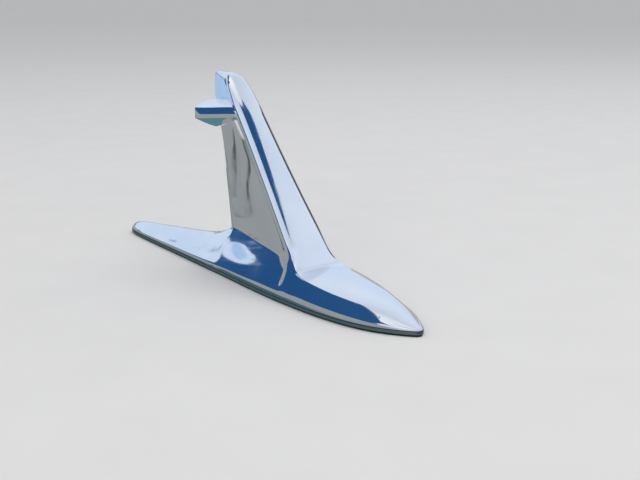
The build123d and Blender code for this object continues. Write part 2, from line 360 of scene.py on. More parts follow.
def among(points):
    """A test that is true for what has all its corners among these points."""
    return lambda element: all(any((v.co - p).length < SAME_PLACE for p in points)
                               for v in element.verts)


start_editing(casting)
first = len(NOSE_ROWS)
top = [row[:RIDGE + 1] for row in deck[first:first + len(FIN_ROWS)]]
levels = [top]
for level, step in zip(FIN_LEVELS, STEPS):
    pick("faces", among([p for row in top for p in row]))
    bpy.ops.mesh.extrude_region_move(TRANSFORM_OT_translate={"value": tuple(LIFT)})
    section = fin_level(level, step)
    pull([(old + LIFT, new) for old_row, new_row in zip(top, section)
          for old, new in zip(old_row, new_row)])
    top = section
    levels.append(top)
pick("faces", lambda face: all(abs(v.co.x) < MERGE for v in face.verts))
bpy.ops.mesh.delete(type="FACE")
stop_editing()
print("fin of", len(FIN_LEVELS), "levels")

# %% [markdown]
# ## The wall and its foot
# Below the sloping sides the casting has a low upright wall with a narrow foot, which shows in
# the photograph as two bright lines with a dark one between. The half is mirrored first, and then
# the open edge all round is extruded down in steps, pushed out for the foot.

# %% Mirror, wall and foot
FOOT_TOP, FOOT_BOTTOM, FOOT_OUT = 2.5, 1.0, 0.15
FOOT_STEP = 0.2           # height over which the foot stands out from the wall
DROP = 0.2                # any small drop: the new rim is brought to its height after it
WALL_LEAN = 0.22          # how far the wall leans out from its top to the foot


def open_edges(edge):
    return len(edge.link_faces) == 1


def lower_rim(z, out=0.0):
    """Extrude the open rim, push it out sideways and flatten it at a height."""
    pick("edges", open_edges)
    bpy.ops.mesh.extrude_edges_move(TRANSFORM_OT_translate={"value": (0, 0, -DROP * MM)})
    if out:
        bpy.ops.transform.shrink_fatten(value=out * MM)
    bpy.ops.transform.resize(value=(1, 1, 0), center_override=(0, 0, z * MM))


def mirror_and_lower(piece, steps):
    """Mirror the half, then lower its rim step by step."""
    add_modifier(piece, "MIRROR", use_clip=True, merge_threshold=MERGE)
    start_editing(piece)
    for z, out in steps:
        lower_rim(z, out)
    stop_editing()
    print(piece.name, "cage of", len(piece.data.polygons), "faces")


mirror_and_lower(casting, ((FOOT_TOP, WALL_LEAN), (FOOT_TOP - FOOT_STEP, FOOT_OUT),
                           (FOOT_BOTTOM, 0)))

# %% [markdown]
# ## Creases
# A subdivision surface rounds every edge alike. The real casting is crisp where the web meets
# the base and at the steps, and soft along the ridges, so those edges get a crease: 1 keeps an
# edge sharp and 0 leaves it round.

# %% Creases, from the drawing


def mirrored(points):
    return list(points) + [Vector((-p.x, p.y, p.z)) for p in points]


def crease(points, value):
    """Crease the edges that run along these points, on both sides."""
    count = pick("edges", among(mirrored(points)))
    bpy.ops.transform.edge_crease(value=value)
    return count


def upright(row, first_level=1, last_level=len(FIN_LEVELS)):
    """The line that one row of the fin's side makes from level to level."""
    return [levels[i][row][RIDGE] for i in range(first_level, last_level + 1)]


def rim_at(z):
    """A test for the edges of the rim at one height."""
    return lambda edge: all(abs(v.co.z - z * MM) < SAME_PLACE for v in edge.verts)


RIDGE_START = 6           # row of the nose from which its ridges are crisp
TIP_START, HOLLOW_END = 11, 6   # levels where the tip's rounding starts and the hollow ends
CREASES = [
    ("nose ridge", [row[RIDGE] for row in deck[RIDGE_START:first]], 0.4),
    ("foot of the front face", deck[first - 1][:RIDGE + 1], 0.35),
    ("foot of the web", [row[RIDGE] for row in levels[0][2:CHAMFER_ROW + 1]], 1.0),
    ("front edge", upright(0, 1, TIP_START), 0.45),
    ("border", upright(1, 1, TIP_START), 0.4),
    ("step", upright(2, 1, HOLLOW_END), 0.7),
    ("chamfer", upright(CHAMFER_ROW), 0.3),
    ("trailing edge", upright(CHAMFER_ROW + 1), 0.4),
    ("front of the base step", deck[first + 1][RIDGE:], 0.4),
    ("back of the base step", deck[first + 2][RIDGE:], 0.2),
    ("top of the wall", [row[-1] for row in deck] + deck[0] + deck[-1], 0.85),
]
start_editing(casting)
for title, path, value in CREASES:
    print(title, crease(path, value), "edges")
for z, value in ((FOOT_TOP, 0.8), (FOOT_TOP - FOOT_STEP, 0.6), (FOOT_BOTTOM, 1.0)):
    pick("edges", rim_at(z))
    bpy.ops.transform.edge_crease(value=value)
stop_editing()

# %% [markdown]
# ## From the cage to the casting
# So far there is only a cage of about 1200 flat faces. Three levels of subdivision turn it into
# the smooth body, and one flat face closes the open rim below, since a later cut can only hollow
# out a closed solid.

# %% Subdivide the cage and close its underside


def rounded(piece, times):
    """Apply a subdivision surface, then close the open rim with one flat face."""
    add_modifier(piece, "SUBSURF", levels=times, render_levels=times)
    start_editing(piece)
    pick("edges", open_edges)
    bpy.ops.mesh.edge_face_add()
    turn_outwards()
    stop_editing()
    print(piece.name, "of", len(piece.data.polygons), "faces")


rounded(casting, 3)

# %% [markdown]
# ## The swept wings
# Near the top the casting has two small wings, swept back like an aircraft's tailplane. Each has
# a blunt, slightly swelling front face that shows three bands of reflection in the photograph,
# and an underside that falls to a keel at the trailing edge. They could be extruded from the fin,
# but the joint is crisp there, so a wing is shaped from a cube, mirrored, and united with the fin.

# %% Wings from a cube
# Sections at the root, beside the fin, half-way out and at the tip: sideways place, then four
# points up the front face and four up the back, as places behind the nose and heights.
WING_SECTIONS = [
    (3.0, ((120.6, 82.6), (121.6, 84.6), (123.2, 86.8), (126.0, 88.9)),
     ((150.4, 74.4), (151.2, 79.0), (152.2, 84.0), (153.0, 89.2))),
    (7.9, ((123.4, 82.1), (123.6, 83.9), (124.9, 85.9), (127.2, 87.6)),
     ((149.6, 76.0), (150.3, 80.0), (151.2, 84.5), (151.9, 88.2))),
    (12.0, ((134.3, 81.1), (133.5, 82.8), (134.4, 84.9), (136.1, 86.4)),
     ((149.0, 77.9), (149.5, 81.0), (149.8, 84.5), (150.2, 87.3))),
    (16.9, ((146.4, 80.2), (145.7, 81.8), (146.3, 83.7), (147.2, 85.2)),
     ((148.2, 80.2), (148.2, 82.2), (148.1, 84.2), (147.9, 85.8))),
]

deselect()
bpy.ops.mesh.primitive_cube_add(size=2, location=(0, 0, 0))
wings = begin("wings")
THIRDS = (-1, -1 / 3, 1 / 3, 1)
OUT_OF_THE_CUBE = 9 * LIFT
for axis in (0, 2):
    pick("edges", lambda edge: abs(edge.verts[1].co[axis] - edge.verts[0].co[axis]) > 1)
    bpy.ops.mesh.subdivide(number_cuts=2)
pull([(Vector((THIRDS[i], y, THIRDS[j])), at(x, *places[j]) + OUT_OF_THE_CUBE)
      for i, (x, front, back) in enumerate(WING_SECTIONS)
      for y, places in ((-1, front), (1, back)) for j in range(4)])
move_all(-OUT_OF_THE_CUBE)


def both_face(*tests):
    """A test for edges whose faces pass one test each, in either order."""
    def test(edge):
        first, second = edge.link_faces
        return any(tests[0](a) and tests[1](b) for a, b in ((first, second), (second, first)))
    return test


FACING = {
    "front": lambda face: face.normal.y < -0.2 and abs(face.normal.z) < 0.8,
    "back": lambda face: face.normal.y > 0.5 and abs(face.normal.z) < 0.8,
    "top": lambda face: face.normal.z > 0.8,
    "under": lambda face: face.normal.z < -0.8,
    "root": lambda face: face.normal.x < -0.9,
    "tip": lambda face: face.normal.x > 0.9,
}
for one, other, value in (("front", "under", 0.95), ("front", "top", 0.1), ("back", "top", 0.6),
                          ("back", "under", 0.7), ("tip", "under", 0.6), ("tip", "front", 0.4),
                          ("tip", "top", 0.3), ("tip", "back", 0.4), ("root", "front", 1),
                          ("root", "back", 1), ("root", "top", 1), ("root", "under", 1)):
    count = pick("edges", both_face(FACING[one], FACING[other]))
    bpy.ops.transform.edge_crease(value=value)
    print(one, "to", other, count, "edges")
stop_editing()
add_modifier(wings, "SUBSURF", levels=3, render_levels=3)
start_editing(wings)
turn_outwards()
stop_editing()
add_modifier(wings, "MIRROR", use_clip=False, use_mirror_merge=False)


def combine(piece, tool, operation):
    """Unite a piece with a tool or cut the tool out of it, drop the tool and mend the seam."""
    add_modifier(piece, "BOOLEAN", operation=operation, object=tool, solver="EXACT")
    bpy.data.objects.remove(tool)
    start_editing(piece)
    select_everything()
    bpy.ops.mesh.remove_doubles(threshold=MERGE)
    bpy.ops.mesh.fill_holes(sides=6)
    stop_editing()


combine(casting, wings, "UNION")
print("casting with wings", len(casting.data.polygons), "faces")

# %% [markdown]
# ## The hollow underneath
# A die casting is a shell. Its walls are about 3 mm thick, the core leaves a boss for each stud
# with a rib across, and the fin stays solid. The core is the same deck drawn smaller, so the wall
# keeps its thickness under every slope. Bosses and ribs are cut out of the core before the core
# is cut out of the casting, as the toolmaker would.

# %% Core with room for the bosses and ribs
WALL, CORE_TOP = 3.0, 15.0
STUD_PLACES = (64.0, 172.0)
BOSS_RADIUS, RIB_HALF = 7.0, 1.25
STUD_HOLE_RADIUS, STUD_HOLE_TOP = 3.2, 8.0
OVER, THROUGH = 1.0, 5.0  # how far tools reach beyond what they cut
TOOL_REACH = 30.0         # and farther than anything that is cut
core, _ = pulled_deck("core", DECK_ROWS[3:-4], inset=WALL, drop=WALL, ceiling=CORE_TOP)
mirror_and_lower(core, ((-OVER, 0),))
rounded(core, 2)


def round_tool(radius, low, high, s):
    """An upright cylinder about the middle plane, for cutting."""
    deselect()
    bpy.ops.mesh.primitive_cylinder_add(vertices=96, radius=radius * MM, depth=(high - low) * MM,
                                        location=at(0, s, (low + high) / 2))
    return bpy.context.object


def strip_tool(half_width, s):
    """A block across the base at one place, for cutting."""
    deselect()
    bpy.ops.mesh.primitive_cube_add(size=2, location=at(0, s, 0),
                                    scale=(TOOL_REACH * MM, half_width * MM, TOOL_REACH * MM))
    return bpy.context.object


for s in STUD_PLACES:
    combine(core, round_tool(BOSS_RADIUS, -THROUGH, TOOL_REACH, s), "DIFFERENCE")
    combine(core, strip_tool(RIB_HALF, s), "DIFFERENCE")
combine(casting, core, "DIFFERENCE")
for s in STUD_PLACES:
    combine(casting, round_tool(STUD_HOLE_RADIUS, 0, STUD_HOLE_TOP, s), "DIFFERENCE")
CRISP_CASTING, CRISP_STEEL = math.radians(28), math.radians(35)   # angles that stay crisp
bpy.ops.object.shade_smooth_by_angle(angle=CRISP_CASTING)
pieces = []


def hand_in(piece, node, slot):
    """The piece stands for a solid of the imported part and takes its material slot."""
    activate(piece)
    bpy.ops.object.transform_apply(location=True, rotation=True, scale=True)
    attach(piece, "root")
    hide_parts(node)
    piece.data.calc_loop_triangles()
    print(piece.name, "of", len(piece.data.loop_triangles), "triangles")
    pieces.append((piece, slot))


hand_in(casting, "ornament", "chrome_plate")

# %% [markdown]
# ## The rubber pad
# A pad 1 mm thick keeps the casting off its seat and shows as a thin black line. It is moulded
# as a rim that follows the outline, with a round seat and a strip at each stud, and a groove
# round its underside that seals against rain. Each outline is a ring of points pulled to the
# drawing, smoothed and raised to a prism; the prisms are then cut from one another.

# %% Prisms that follow the outline
PAD_TOP, PAD_INSET, PAD_RIM = 1.0, 0.4, 6.0
GROOVE_INSET, GROOVE_WIDTH, GROOVE_DEPTH = 2.4, 1.2, 0.35
SEAT_RADIUS, STRIP_HALF, PAD_HOLE_RADIUS = 9.0, 4.0, 3.6
NARROWEST = 0.5           # rows of the drawing narrower than this are left out of an outline
END_REACH = 0.3           # how far its pointed ends stand out beyond the rows that are left


def outline_prism(name, inset, low, high):
    """A prism that follows the base's outline from one height to another."""
    rows = [row for row in DECK_ROWS if row[1] - inset > NARROWEST]
    near = [at(row[1] - inset, row[0], low) for row in rows]
    reach = END_REACH - inset / 2
    ends = [at(0, rows[0][0] - reach, low), at(0, rows[-1][0] + reach, low)]
    far = [Vector((-p.x, p.y, p.z)) for p in reversed(near)]
    piece = ring(name, [ends[0], *near, ends[1], *far])
    stop_editing()
    add_modifier(piece, "SUBSURF", levels=3, render_levels=3)
    start_editing(piece)
    select_everything()
    bpy.ops.mesh.edge_face_add()
    bpy.ops.mesh.extrude_region_move(TRANSFORM_OT_translate={"value": (0, 0, (high - low) * MM)})
    turn_outwards()
    stop_editing()
    return piece


def soften(piece, width, sharp, smooth, segments=2):
    """Bevel the edges sharper than one angle and shade it smooth below another."""
    add_modifier(piece, "BEVEL", width=width, segments=segments, limit_method="ANGLE",
                 angle_limit=math.radians(sharp))
    bpy.ops.object.shade_smooth_by_angle(angle=math.radians(smooth))


pad = outline_prism("rubber_pad", PAD_INSET, 0, PAD_TOP)
opening = outline_prism("opening", PAD_INSET + PAD_RIM, -OVER, PAD_TOP + OVER)
for s in STUD_PLACES:
    combine(opening, round_tool(SEAT_RADIUS, -THROUGH, THROUGH, s), "DIFFERENCE")
    combine(opening, strip_tool(STRIP_HALF, s), "DIFFERENCE")
combine(pad, opening, "DIFFERENCE")
for s in STUD_PLACES:
    combine(pad, round_tool(PAD_HOLE_RADIUS, -THROUGH, THROUGH, s), "DIFFERENCE")
groove = outline_prism("groove", GROOVE_INSET, -OVER, GROOVE_DEPTH)
kept = outline_prism("kept", GROOVE_INSET + GROOVE_WIDTH, -2 * OVER, 2 * OVER)
combine(groove, kept, "DIFFERENCE")
combine(pad, groove, "DIFFERENCE")
soften(pad, 0.15 * MM, sharp=50, smooth=30)
hand_in(pad, "pad", "pad_rubber")

# %% [markdown]
# ## Studs
# Each stud is screwed into its boss, has a plain shank below it, and takes the nut on the thread
# below that. The thread is a rolled quarter-inch thread. A threaded rod is swept by a Screw modifier
# from one tooth, and cut to length and to the chamfered blank of the stud, which is turned from
# its profile as on a lathe.

# %% A lathe and a threaded rod
PITCH, THREAD_RADIUS, ROOT_RADIUS = 1.27, 3.175, 2.45
STUD_LOW, STUD_TOP, SHANK_LOW, SHANK_RADIUS = -24.0, 8.0, -3.2, 2.76
STUD_CHAMFER, LATHE_STEPS, SCREW_STEPS = 0.6, 64, 32
# One tooth of the thread, as radius and share of the pitch.
TOOTH = ((ROOT_RADIUS, 0), (ROOT_RADIUS, 0.25), (THREAD_RADIUS, 0.56), (THREAD_RADIUS, 0.69),
         (ROOT_RADIUS, 1))


def turned(name, profile, s):
    """Spin a closed profile of radius and height about the upright axis at a place."""
    piece = ring(name, [at(radius, s, height) for radius, height in profile])
    bpy.ops.mesh.spin(steps=LATHE_STEPS, angle=2 * math.pi, center=at(0, s, 0), axis=(0, 0, 1))
    select_everything()
    bpy.ops.mesh.remove_doubles(threshold=2 * MERGE)
    bpy.ops.mesh.dissolve_degenerate(threshold=MERGE)
    pick("edges", lambda edge: not edge.link_faces)
    bpy.ops.mesh.delete(type="EDGE")
    turn_outwards()
    stop_editing()
    return piece


def threaded_rod(name, low, high, s):
    """A rod with one tooth swept along its helix, longer than it needs to be. The long edge
    that closes the tooth's ring is taken out before the sweep."""
    deselect()
    bpy.ops.mesh.primitive_circle_add(vertices=len(TOOTH), radius=1, location=(0, 0, 0))
    piece = begin(name)
    around = [v.co.copy() for v in bmesh.from_edit_mesh(piece.data).verts]
    turns = math.ceil((high - low) / PITCH) + 2
    pull([(old, Vector((radius, 0, low + (part - 1) * PITCH)) * MM)
          for old, (radius, part) in zip(around, TOOTH)])
    pick("edges", lambda edge: edge.calc_length() > 0.9 * PITCH * MM)
    bpy.ops.mesh.delete(type="EDGE")
    stop_editing()
    add_modifier(piece, "SCREW", angle=2 * math.pi, screw_offset=PITCH * MM, iterations=turns,
                 steps=SCREW_STEPS, render_steps=SCREW_STEPS, axis="Z",
                 use_merge_vertices=True, merge_threshold=MERGE)
    start_editing(piece)
    select_everything()
    bpy.ops.mesh.remove_doubles(threshold=MERGE)
    bpy.ops.mesh.fill_holes(sides=0)
    select_everything()
    bpy.ops.mesh.quads_convert_to_tris()
    turn_outwards()
    move_all(at(0, s, 0))
    stop_editing()
    return piece


print("thread of", THREAD_RADIUS, "mm radius and", PITCH, "mm pitch")

# %% Model the front stud
SHOULDER, FILLING_END = 0.4, 0.3     # lengths of the slopes at the ends of the plain shank
CREST_PLAY = 0.01                    # the blank is this much wider than the thread
SMALLER, LARGER = 0.2, 0.1           # radii of the shank's filling, against the shank's own
s = STUD_PLACES[0]
stud = threaded_rod("stud_front_steel", STUD_LOW, STUD_TOP, s)
reach, neck = THREAD_RADIUS + CREST_PLAY, SHANK_RADIUS
inner, outer = neck - SMALLER, neck + LARGER
combine(stud, turned("filling", [
    (0, SHANK_LOW - FILLING_END), (inner, SHANK_LOW - FILLING_END), (outer, SHANK_LOW),
    (outer, 0), (inner, FILLING_END), (0, FILLING_END)], s), "UNION")
blank = turned("blank", [
    (0, STUD_LOW), (reach - STUD_CHAMFER, STUD_LOW), (reach, STUD_LOW + STUD_CHAMFER),
    (reach, SHANK_LOW - SHOULDER), (neck, SHANK_LOW), (neck, -SHOULDER), (reach, 0),
    (reach, STUD_TOP - SHOULDER), (reach - SHOULDER, STUD_TOP), (0, STUD_TOP)], s)
combine(stud, blank, "INTERSECT")
bpy.ops.object.shade_smooth_by_angle(angle=CRISP_STEEL)
print("stud of", len(stud.data.polygons), "faces")

# %% [markdown]
# ## Washers and nuts
# A stamped washer has a rounded edge on the side that the punch entered and a crisper one on the
# other, so its profile is turned with both. The nut starts as a six-sided cylinder. Intersecting
# it with a turned blank gives the curved chamfers that every hexagon nut has. Its bore is plain,
# because the stud hides it, with a countersink at both ends.

# %% Model the front washer and nut
WASHER_RADIUS, WASHER_HOLE, WASHER_TOP, WASHER_LOW = 8.0, 3.45, -3.3, -4.9
ROLL, CRISP = 0.4, 0.12
ROLL_MIDDLE = 0.3 * ROLL
washer = turned("washer_front_zinc", [
    (WASHER_HOLE, WASHER_LOW + CRISP), (WASHER_HOLE + CRISP, WASHER_LOW),
    (WASHER_RADIUS - ROLL, WASHER_LOW), (WASHER_RADIUS - ROLL_MIDDLE, WASHER_LOW + ROLL_MIDDLE),
    (WASHER_RADIUS, WASHER_LOW + ROLL), (WASHER_RADIUS, WASHER_TOP - CRISP),
    (WASHER_RADIUS - CRISP, WASHER_TOP), (WASHER_HOLE + ROLL, WASHER_TOP),
    (WASHER_HOLE + ROLL_MIDDLE, WASHER_TOP - ROLL_MIDDLE), (WASHER_HOLE, WASHER_TOP - ROLL)], s)
soften(washer, 0.05 * MM, sharp=25, smooth=35)

NUT_FLATS, NUT_TOP, NUT_LOW, BORE, SINK = 11.1, -4.9, -10.5, 3.2, 0.55
NUT_EDGE, BEYOND = 0.2, 0.5          # start of the chamfer inside the flats, end past the corners
CORNER = NUT_FLATS / 2 / math.cos(math.radians(30))
SLOPE = math.tan(math.radians(30))
deselect()
bpy.ops.mesh.primitive_cylinder_add(vertices=6, radius=CORNER * MM, depth=(NUT_TOP - NUT_LOW) * MM,
                                    location=at(0, s, (NUT_TOP + NUT_LOW) / 2))
nut = bpy.context.object
nut.name = "nut_front_zinc"
wide, flat = CORNER + BEYOND, NUT_FLATS / 2 - NUT_EDGE
rise = (wide - flat) * SLOPE
combine(nut, turned("nut blank", [(0, NUT_LOW), (flat, NUT_LOW), (wide, NUT_LOW + rise),
                                  (wide, NUT_TOP - rise), (flat, NUT_TOP), (0, NUT_TOP)], s),
        "INTERSECT")
combine(nut, turned("bore", [
    (0, NUT_LOW - OVER), (BORE + SINK, NUT_LOW - OVER), (BORE + SINK, NUT_LOW),
    (BORE, NUT_LOW + SINK), (BORE, NUT_TOP - SINK), (BORE + SINK, NUT_TOP),
    (BORE + SINK, NUT_TOP + OVER), (0, NUT_TOP + OVER)], s), "DIFFERENCE")
soften(nut, 0.12 * MM, sharp=28, smooth=35)
print("washer of", len(washer.data.polygons), "faces, nut of", len(nut.data.polygons), "faces")

# %% [markdown]
# ## The rear fixing
# Both studs are held alike, so the three pieces are copied back by the distance of the studs.
# Each copy is turned by some angle, because no two threads or nuts stop at the same turn.

# %% Copy them to the rear stud
STEP_BACK = (STUD_PLACES[1] - STUD_PLACES[0]) * MM
for kind, slot, front, turn in (("stud", "stud_steel", stud, 130),
                                ("washer", "zinc_plated_steel", washer, 40),
                                ("nut", "zinc_plated_steel", nut, 17)):
    activate(front)
    bpy.ops.object.duplicate()
    bpy.ops.object.transform_apply(location=True, rotation=True, scale=True)
    rear = begin(front.name.replace("front", "rear"))
    move_all((0, STEP_BACK, 0))
    bpy.ops.transform.rotate(value=math.radians(turn), orient_axis="Z",
                             center_override=at(0, STUD_PLACES[1], 0))
    stop_editing()
    for place, piece in (("front", front), ("rear", rear)):
        hand_in(piece, kind + "_" + place, slot)

# %% [markdown]
# ## Materials from nodes
# Each finish reads Object coordinates, so its pattern is a real length on the part and stays where
# it is. Helpers add a node, set its inputs and link it, so that a material reads as a list.
# Values that are the same all over stand on the shader's own sockets.

# %% Node helpers


def feed(socket, value):
    """Give a socket a colour, a number or what another node puts out."""
    if isinstance(value, tuple):
        socket.default_value = (*value, 1)
    elif isinstance(value, (int, float)):
        socket.default_value = value
    else:
        socket.id_data.links.new(value, socket)


def node_adder(tree):
    """A function that adds a node to this tree, sets its inputs and links it."""
    def add(kind, values=None, **links):
        node = tree.nodes.new("ShaderNode" + kind)
        for key, value in (values or {}).items():
            if key in node.inputs:
                node.inputs[key].default_value = value
            else:
                setattr(node, key, value)
        for key, source in links.items():
            feed(node.inputs[key], source)
        return node

    return add


def new_finish(name):
    """An empty Principled material, its place on the part and functions to build it up."""
    material = bpy.data.materials.new(name)
    material.use_nodes = True
    shader = material.node_tree.nodes["Principled BSDF"]
    add = node_adder(material.node_tree)
    place = add("TexCoord").outputs["Object"]

    def into(socket, source):
        feed(shader.inputs[socket], source)

    return material, place, add, into


def maths(add, operation, a, b):
    """One calculation with two values, each a number or a socket."""
    node = add("Math", {"operation": operation})
    feed(node.inputs[0], a)
    feed(node.inputs[1], b)
    return node.outputs[0]


def noise(add, place, size, detail=3.0, stretch=(1, 1, 1), roughness=0.5):
    """Noise whose blotches are about this many millimetres long."""
    stretched = add("Mapping", {"Scale": stretch}, Vector=place).outputs["Vector"]
    values = {"Scale": 1 / (size * MM), "Detail": detail, "Roughness": roughness}
    return add("TexNoise", values, Vector=stretched).outputs["Fac"]


def spots(add, place, spacing, radius, share, soft=0.5, shift=(0, 0, 0)):
    """Round spots: a mask that is 1 inside them. Only this share of them is kept."""
    moved = add("Mapping", {"Location": shift}, Vector=place).outputs["Vector"]
    cells = add("TexVoronoi", {"Scale": 1 / (spacing * MM)}, Vector=moved)
    edge = radius / spacing
    mask = add("MapRange", {"From Min": edge, "From Max": edge * soft},
               Value=cells.outputs["Distance"]).outputs["Result"]
    picked = add("SeparateColor", Color=cells.outputs["Color"]).outputs["Red"]
    return maths(add, "MULTIPLY", mask, maths(add, "LESS_THAN", picked, share))


def ramp(add, source, *stops):
    """A colour ramp: each stop is a place from 0 to 1 and a colour or a grey."""
    node = add("ValToRGB", Fac=source)
    elements = node.color_ramp.elements
    while len(elements) < len(stops):
        elements.new(0.5)
    for element, (position, value) in zip(elements, stops):
        element.position = position
        element.color = (*value, 1) if isinstance(value, tuple) else (value, value, value, 1)
    return node.outputs["Color"]


def mixed(add, amount, a, b, blend="MIX"):
    """Mix two colours by a mask; each is a colour or a socket."""
    node = add("Mix", {"data_type": "RGBA", "blend_type": blend})
    feed(node.inputs["Factor"], amount)
    colour_a, colour_b = (socket for socket in node.inputs if socket.type == "RGBA")
    feed(colour_a, a)
    feed(colour_b, b)
    return next(socket for socket in node.outputs if socket.type == "RGBA")


print("slots that need a finish:", *sorted({slot for _, slot in pieces}))

# %% [markdown]
# ## Chrome that has been outdoors
# Chrome is a mirror: nearly all of its look comes from what stands around it. On this part it has
# a light haze, fine wiping scratches along its length, pin pits and a few brown specks where the
# copper below has come through. Near the foot the colour is painted darker, as painted shade: a
# dark band above the foot and a dark line at its step. The base colour is that of chromium, a little
# blue. Haze and scratches show in the roughness only.

# %% Chrome plate
# These two colours are painted shade on the foot: a darker band above the foot and a dark line at its
# step.
PAINTED_FOOT_SHADE, PAINTED_STEP_LINE = (0.42, 0.4, 0.37), (0.1, 0.095, 0.09)
PIT_GREY, COPPER_BROWN = (0.2, 0.19, 0.2), (0.3, 0.16, 0.1)
SHADE_TOP, SHADE_FULL = 3.4, 2.4       # heights where the painted shade ends and where it is darkest
STEP_LOW, STEP_HIGH = 2.0, 3.0       # heights about the step of the foot, where a painted dark line sits
SHADE_AMOUNT = 0.5
PIT_ROUGH, SPECK_ROUGH, FOOT_ROUGH = (0.5,) * 3, (0.7,) * 3, (0.6,) * 3
chrome, place, add, into = new_finish("old_chrome")
into("Metallic", 1.0)
tint = ramp(add, noise(add, place, 24, 2.0), (0.35, (0.83, 0.85, 0.9)), (0.65, (0.9, 0.905, 0.93)))
pits = spots(add, place, 5.0, 0.17, share=0.5)
specks = spots(add, place, 19.0, 0.5, soft=0.3, share=0.35, shift=(0.013, 0.002, 0.007))
height = add("SeparateXYZ", Vector=place).outputs["Z"]
# Painted shade: below 3.4 mm the chrome's colour is mixed towards a dark grey, darkest at 2.4 mm.
shade_line = add("MapRange", {"From Min": SHADE_TOP * MM, "From Max": SHADE_FULL * MM}, Value=height)
foot_shade = maths(add, "MULTIPLY", shade_line.outputs["Result"], SHADE_AMOUNT)
# Painted shade: the mask named groove paints a dark line about the step of the foot.
around_step = add("MapRange", {"From Min": STEP_LOW * MM, "From Max": STEP_HIGH * MM}, Value=height)
groove = ramp(add, around_step.outputs["Result"], (0.15, 0.0), (0.3, 1.0), (0.6, 1.0), (0.75, 0.0))
colour = tint
for mask, shade in ((foot_shade, PAINTED_FOOT_SHADE), (groove, PAINTED_STEP_LINE), (pits, PIT_GREY),
                    (specks, COPPER_BROWN)):
    colour = mixed(add, mask, colour, shade)
into("Base Color", colour)
haze = ramp(add, noise(add, place, 11, 4.0), (0.3, 0.035), (0.62, 0.075), (0.85, 0.14))
scratch = ramp(add, noise(add, place, 1.1, 3.0, stretch=(1, 0.07, 0.09)), (0.5, 0.0), (0.8, 0.09))
rough = mixed(add, 1.0, haze, scratch, "ADD")
for mask, shade in ((pits, PIT_ROUGH), (specks, SPECK_ROUGH), (foot_shade, FOOT_ROUGH),
                    (groove, FOOT_ROUGH)):
    rough = mixed(add, mask, rough, shade)
into("Roughness", rough)
swell = add("Bump", {"Strength": 0.25, "Distance": 0.05 * MM},
            Height=noise(add, place, 16, 1.0)).outputs["Normal"]
fine = add("Bump", {"Strength": 0.05, "Distance": 0.01 * MM}, Height=scratch, Normal=swell)
pitted = add("Bump", {"Strength": 0.4, "Distance": 0.04 * MM, "invert": True}, Height=pits,
             Normal=fine.outputs["Normal"])
into("Normal", pitted.outputs["Normal"])
print("chrome with", len(chrome.node_tree.nodes), "nodes")

# %% [markdown]
# ## Rubber, rolled steel and zinc
# The pad is black moulded rubber, greyed a little where dust has settled, with a fine matt grain.
# The studs are plain rolled steel with faint turning lines and a few darker stains. Washers and
# nuts are zinc plated, duller, with pale blotches of white rust.

# %% The three plain finishes
rubber, place, add, into = new_finish("black_rubber")
dust = ramp(add, noise(add, place, 6, 5.0), (0.4, (0.022, 0.022, 0.023)),
            (0.8, (0.06, 0.058, 0.055)))
into("Base Color", dust)
into("Roughness", ramp(add, noise(add, place, 3, 4.0), (0.3, 0.62), (0.7, 0.82)))
grain = add("Bump", {"Strength": 0.4, "Distance": 0.03 * MM},
            Height=noise(add, place, 0.35, 4.0)).outputs["Normal"]
into("Normal", grain)
into("Specular IOR Level", 0.4)

steel, place, add, into = new_finish("rolled_steel")
into("Metallic", 1.0)
stain = ramp(add, noise(add, place, 3.5, 5.0), (0.36, (0.33, 0.28, 0.23)),
             (0.52, (0.55, 0.54, 0.52)), (0.8, (0.62, 0.61, 0.6)))
into("Base Color", stain)
into("Roughness", ramp(add, noise(add, place, 2.5, 4.0), (0.35, 0.5), (0.6, 0.3)))
lines = noise(add, place, 0.5, 2.0, stretch=(0.3, 0.3, 3))
into("Normal", add("Bump", {"Strength": 0.25, "Distance": 0.02 * MM}, Height=lines).outputs["Normal"])

zinc, place, add, into = new_finish("zinc_plate")
into("Metallic", 1.0)
bloom = noise(add, place, 2.2, 5.0, roughness=0.65)
into("Base Color", ramp(add, bloom, (0.4, (0.6, 0.62, 0.64)), (0.58, (0.7, 0.705, 0.7)),
                        (0.75, (0.82, 0.82, 0.8))))
into("Roughness", ramp(add, bloom, (0.35, 0.28), (0.6, 0.42), (0.78, 0.7)))
into("Normal", add("Bump", {"Strength": 0.3, "Distance": 0.02 * MM},
                   Height=noise(add, place, 0.7, 4.0)).outputs["Normal"])

FINISHES = {"chrome_plate": chrome, "pad_rubber": rubber, "stud_steel": steel,
            "zinc_plated_steel": zinc}
for piece, slot in pieces:
    piece.data.materials.clear()
    piece.data.materials.append(FINISHES[slot])
    print(piece.name, "has", FINISHES[slot].name)

# %% [markdown]
# ## The studio
# The part stands on a plain pale floor that curves up into a low wall all round. The light
# comes evenly from everywhere and is almost white, so the floor stays neutral. What the camera
# and the reflections see is a sky that runs from a warm white at the horizon to pale blues.

# %% Floor and world
FLOOR_RADIUS, WALL_HEIGHT, WALL_SPREAD, WALL_CURVE = 9, 3.0, 1.15, 2.2
SKY_LIGHT, SKY_POWER = (0.93, 0.95, 1.0), 0.65
deselect()
bpy.ops.mesh.primitive_circle_add(vertices=96, radius=FLOOR_RADIUS, fill_type="NGON",
                                  location=(0, 0, 0))
floor = begin("floor")
pick("edges", open_edges)
bpy.ops.mesh.extrude_edges_move(TRANSFORM_OT_translate={"value": (0, 0, WALL_HEIGHT)})
bpy.ops.transform.resize(value=(WALL_SPREAD, WALL_SPREAD, 1))
stop_editing()
soften(floor, WALL_CURVE, sharp=40, smooth=30, segments=16)
paper, place, add, into = new_finish("pale_paper")
into("Base Color", ramp(add, noise(add, place, 40, 3.0), (0.3, (0.8, 0.79, 0.77)),
                        (0.7, (0.82, 0.81, 0.79))))
into("Roughness", 0.9)
into("Specular IOR Level", 0.1)
floor.data.materials.append(paper)

